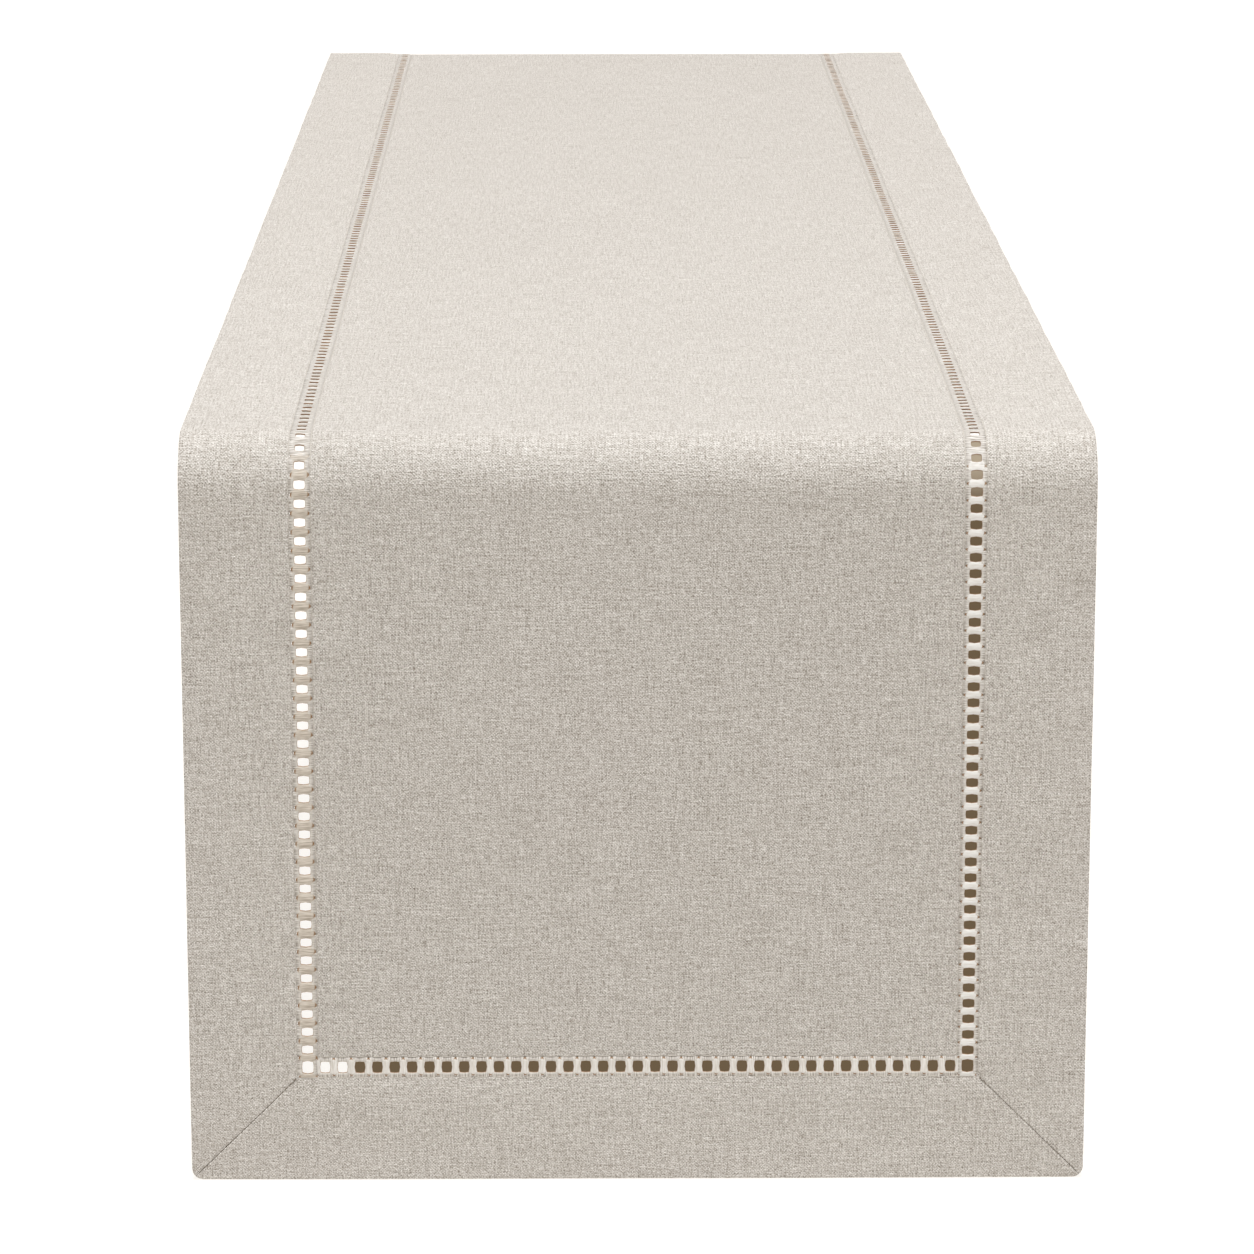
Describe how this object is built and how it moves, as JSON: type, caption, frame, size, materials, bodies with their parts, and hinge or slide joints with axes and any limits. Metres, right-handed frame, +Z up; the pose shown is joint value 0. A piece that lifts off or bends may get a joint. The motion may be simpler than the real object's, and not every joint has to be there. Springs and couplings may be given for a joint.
{
  "type": "table runner",
  "caption": "Long narrow linen table runner with mitred double borders and a ladder hemstitch all round, draped over a table so both ends hang down.",
  "frame": {"origin": "middle of the cloth's underside, where it lies on the table top", "axes": "+X across the runner to the right of someone who faces the front drop, +Y along its length towards the back drop, +Z up out of the table top"},
  "size_m": [0.356, 1.2486, 0.3012],
  "materials": {
    "linen": "natural greige linen, plain weave with slubs, pressed, matt",
    "border_linen": "the same linen folded double, pressed, matt",
    "drawn_thread": "bundles of the linen's own threads, paler where they stand free, with a soft sheen",
    "binding_thread": "ivory sewing thread, soft sheen",
    "seam_thread": "fine greige sewing thread sunk in the seam, matt"
  },
  "bodies": {
    "root": {"centre_panel": "linen", "border_left": "border_linen", "ladder_left": "drawn_thread", "binding_left_outer": "binding_thread", "binding_left_inner": "binding_thread", "border_right": "border_linen", "ladder_right": "drawn_thread", "binding_right_outer": "binding_thread", "binding_right_inner": "binding_thread", "border_front": "border_linen", "ladder_front": "drawn_thread", "binding_front_outer": "binding_thread", "binding_front_inner": "binding_thread", "border_back": "border_linen", "ladder_back": "drawn_thread", "binding_back_outer": "binding_thread", "binding_back_inner": "binding_thread", "mitre_front_left": "seam_thread", "mitre_front_right": "seam_thread", "mitre_back_left": "seam_thread", "mitre_back_right": "seam_thread"}
  },
  "joints": []
}
